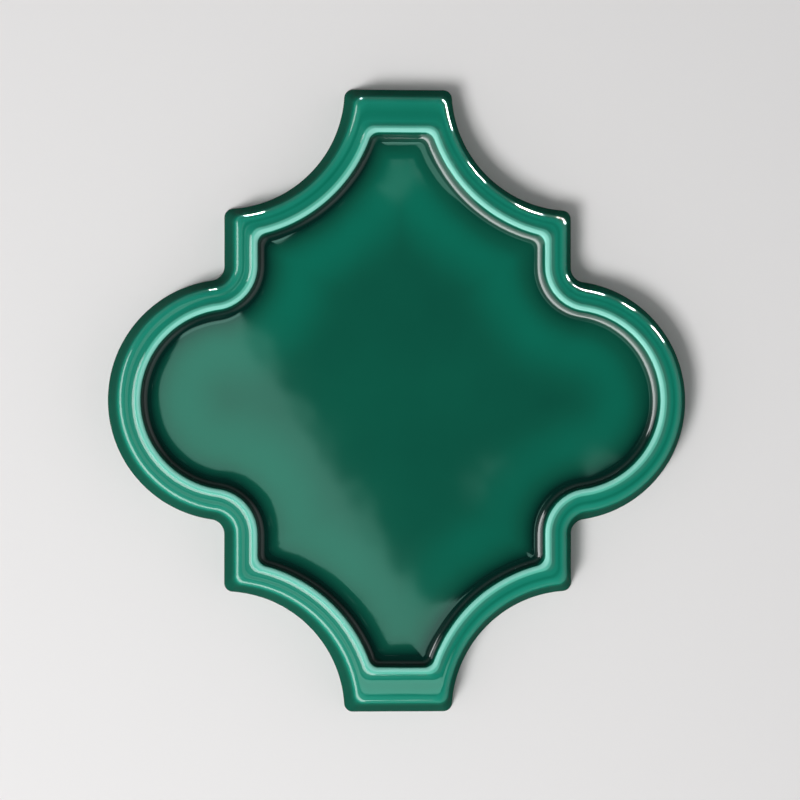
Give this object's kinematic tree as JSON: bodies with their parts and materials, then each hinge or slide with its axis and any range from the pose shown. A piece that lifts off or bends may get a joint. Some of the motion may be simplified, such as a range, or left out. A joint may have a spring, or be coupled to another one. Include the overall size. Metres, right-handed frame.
{
  "type": "relief tile",
  "caption": "Lantern-shaped relief wall tile in glossy green glaze, with a raised moulded rim around a plain recessed field and keying grooves across its back.",
  "frame": {"origin": "middle of the back face, the face that is bedded in adhesive, in metres; the tile lies on that face", "axes": "+Z out of the glazed face, +Y from neck to neck (the longest way), +X from lobe to lobe"},
  "size_m": [0.14, 0.15, 0.01],
  "materials": {
    "green_glaze": "gloss"
  },
  "bodies": {
    "root": {"relief_tile": "green_glaze"}
  },
  "joints": []
}
